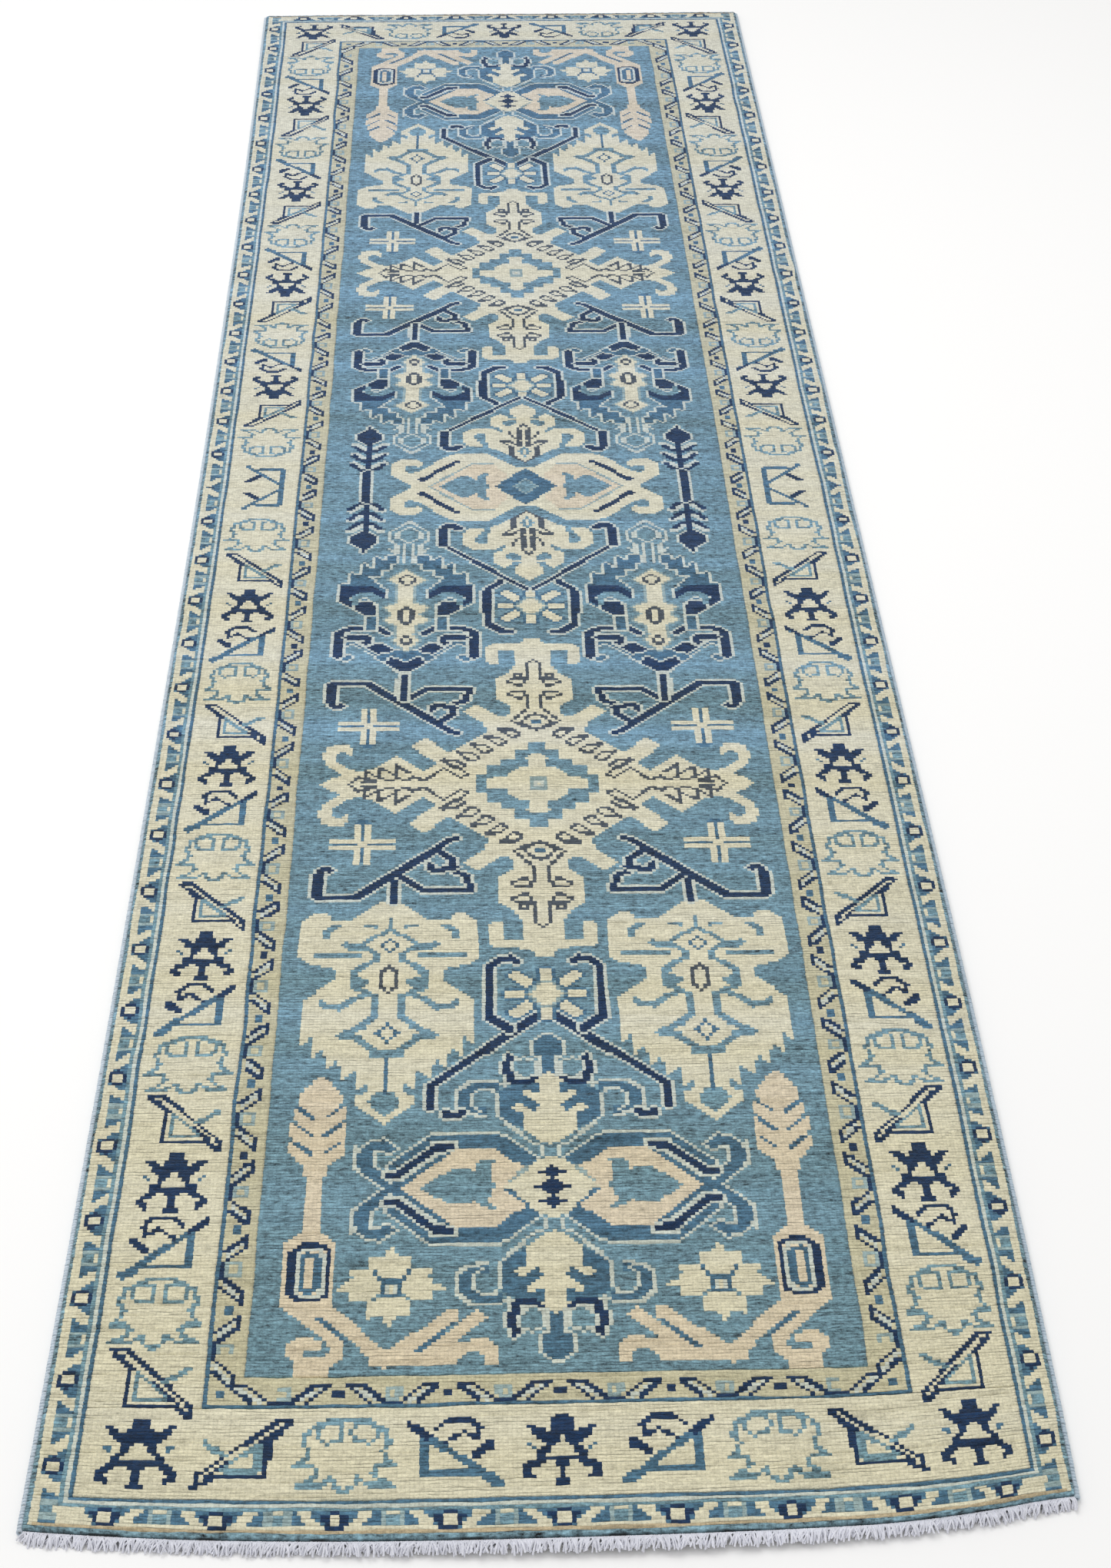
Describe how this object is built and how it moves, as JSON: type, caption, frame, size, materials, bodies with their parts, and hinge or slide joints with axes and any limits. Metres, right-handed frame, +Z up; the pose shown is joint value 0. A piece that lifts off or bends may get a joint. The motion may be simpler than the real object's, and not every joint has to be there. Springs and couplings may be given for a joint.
{
  "type": "runner rug",
  "caption": "Long narrow hand-knotted wool runner with a field, three borders, wrapped side cords, woven end webs and short cut fringes.",
  "frame": {"origin": "on the floor under the rug's centre", "axes": "+Z up, +Y along the rug from the near end to the far end, +X across it to the right"},
  "size_m": [0.7904, 3.1332, 0.009],
  "materials": {
    "field_wool": "matt wool pile, light and mid blue with shade bands across the rug",
    "border_wool": "matt wool pile, cream",
    "guard_wool": "matt wool pile, cream with blue",
    "selvedge_wool": "wrapped wool yarn, pale blue",
    "ground_cotton": "undyed woven cotton",
    "fringe_cotton": "undyed plied cotton, cool white"
  },
  "bodies": {
    "root": {"ground_weave": "ground_cotton", "field_pile": "field_wool", "inner_guard_pile_near": "guard_wool", "inner_guard_pile_far": "guard_wool", "inner_guard_pile_left": "guard_wool", "inner_guard_pile_right": "guard_wool", "main_border_pile_near": "border_wool", "main_border_pile_far": "border_wool", "main_border_pile_left": "border_wool", "main_border_pile_right": "border_wool", "outer_guard_pile_near": "guard_wool", "outer_guard_pile_far": "guard_wool", "outer_guard_pile_left": "guard_wool", "outer_guard_pile_right": "guard_wool", "selvedge_core_left": "ground_cotton", "selvedge_core_right": "ground_cotton", "selvedge_overcast_left": "selvedge_wool", "selvedge_overcast_right": "selvedge_wool", "end_web_near": "ground_cotton", "end_web_far": "ground_cotton", "fringe_near": "fringe_cotton", "fringe_far": "fringe_cotton"}
  },
  "joints": []
}
